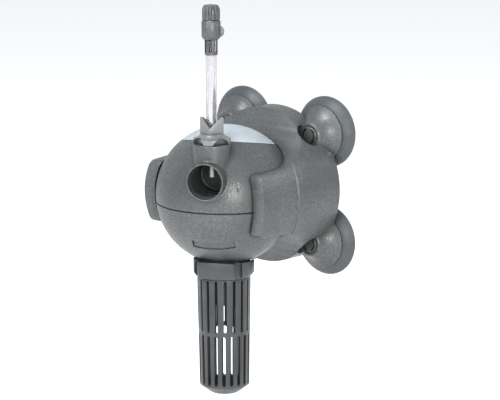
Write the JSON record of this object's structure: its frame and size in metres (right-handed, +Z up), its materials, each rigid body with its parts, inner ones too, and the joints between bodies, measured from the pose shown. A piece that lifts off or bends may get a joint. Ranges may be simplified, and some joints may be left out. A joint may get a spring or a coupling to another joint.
{
  "type": "internal power filter",
  "caption": "Ball-shaped internal aquarium pump that pans in a bracket with suction cups, with a slotted intake strainer below and an air tube with a valve above the outlet.",
  "frame": {"origin": "on the glass, midway between the suction cups and level with the ball's centre", "axes": "+Y into the glass, +Z up, +X to the right when facing the glass"},
  "size_m": [0.0958, 0.093, 0.2125],
  "materials": {
    "body_plastic": "fine matte grain",
    "crown_plastic": "smooth satin",
    "cup_rubber": "smooth satin",
    "stud_plastic": "matte",
    "collar_plastic": "satin",
    "strainer_plastic": "satin",
    "fitting_plastic": "satin",
    "clear_tube": "clear",
    "valve_plastic": "satin",
    "tip_plastic": "satin",
    "gland_rubber": "matte",
    "inner_plastic": "satin",
    "lamination_steel": "rolled",
    "copper_wire": "enamelled",
    "magnet_ferrite": "moulded",
    "shaft_ceramic": "ground"
  },
  "bodies": {
    "holder": {"holder": "body_plastic", "suction_cup_upper_left": "cup_rubber", "suction_cup_upper_right": "cup_rubber", "suction_cup_lower_left": "cup_rubber", "suction_cup_lower_right": "cup_rubber"},
    "stud_upper_left": {"cup_stud_upper_left": "stud_plastic"},
    "stud_upper_right": {"cup_stud_upper_right": "stud_plastic"},
    "stud_lower_left": {"cup_stud_lower_left": "stud_plastic"},
    "stud_lower_right": {"cup_stud_lower_right": "stud_plastic"},
    "ball": {"upper_shell": "body_plastic", "crown_cap": "crown_plastic", "lower_shell": "body_plastic", "shell_seal": "gland_rubber", "cable_gland": "gland_rubber", "motor_housing": "inner_plastic", "motor_lid": "inner_plastic", "stator_core": "lamination_steel", "coil_bobbin": "inner_plastic", "coil_winding": "copper_wire", "pump_chamber": "inner_plastic", "riser_pipe": "inner_plastic", "suction_tube": "inner_plastic", "rotor_shaft": "shaft_ceramic", "upper_bush": "gland_rubber", "lower_bush": "gland_rubber", "injector_tip": "tip_plastic"},
    "rotor": {"impeller": "inner_plastic", "rotor_magnet": "magnet_ferrite"},
    "intake_collar": {"intake_collar": "collar_plastic"},
    "strainer": {"strainer": "strainer_plastic"},
    "air_line": {"air_fitting": "fitting_plastic", "air_tube": "clear_tube", "tube_sleeve": "valve_plastic", "valve_body": "valve_plastic"},
    "valve_knob": {"valve_knob": "valve_plastic"}
  },
  "joints": [
    {"name": "ball_pan", "type": "hinge", "parent": "holder", "child": "ball", "pos_m": [0, -0.0515, 0], "axis": [0, 0, 1], "range_deg": [-66, 18]},
    {"name": "stud_turn_upper_left", "type": "hinge", "parent": "holder", "child": "stud_upper_left", "pos_m": [-0.0286, -0.0125, 0.0298], "axis": [0, 1, 0], "range_deg": [0, 90]},
    {"name": "stud_turn_upper_right", "type": "hinge", "parent": "holder", "child": "stud_upper_right", "pos_m": [0.0286, -0.0125, 0.0298], "axis": [0, 1, 0], "range_deg": [0, 90]},
    {"name": "stud_turn_lower_left", "type": "hinge", "parent": "holder", "child": "stud_lower_left", "pos_m": [-0.0286, -0.0125, -0.0298], "axis": [0, 1, 0], "range_deg": [0, 90]},
    {"name": "stud_turn_lower_right", "type": "hinge", "parent": "holder", "child": "stud_lower_right", "pos_m": [0.0286, -0.0125, -0.0298], "axis": [0, 1, 0], "range_deg": [0, 90]},
    {"name": "rotor_spin", "type": "hinge", "parent": "ball", "child": "rotor", "pos_m": [0.00203, -0.05607, 0], "axis": [0, 0, 1], "continuous": true},
    {"name": "collar_turn", "type": "hinge", "parent": "ball", "child": "intake_collar", "pos_m": [0.00203, -0.05607, -0.04], "axis": [0, 0, 1], "range_deg": [0, 25]},
    {"name": "strainer_pull", "type": "slide", "parent": "intake_collar", "child": "strainer", "axis": [0, 0, -1], "range_m": [0, 0.03]},
    {"name": "fitting_turn", "type": "hinge", "parent": "ball", "child": "air_line", "pos_m": [0.01057, -0.07525, 0.038], "axis": [0, 0, 1], "range_deg": [-90, 90]},
    {"name": "valve_turn", "type": "hinge", "parent": "air_line", "child": "valve_knob", "pos_m": [0.01057, -0.07525, 0.1], "axis": [0, 0, 1], "range_deg": [0, 270]}
  ]
}
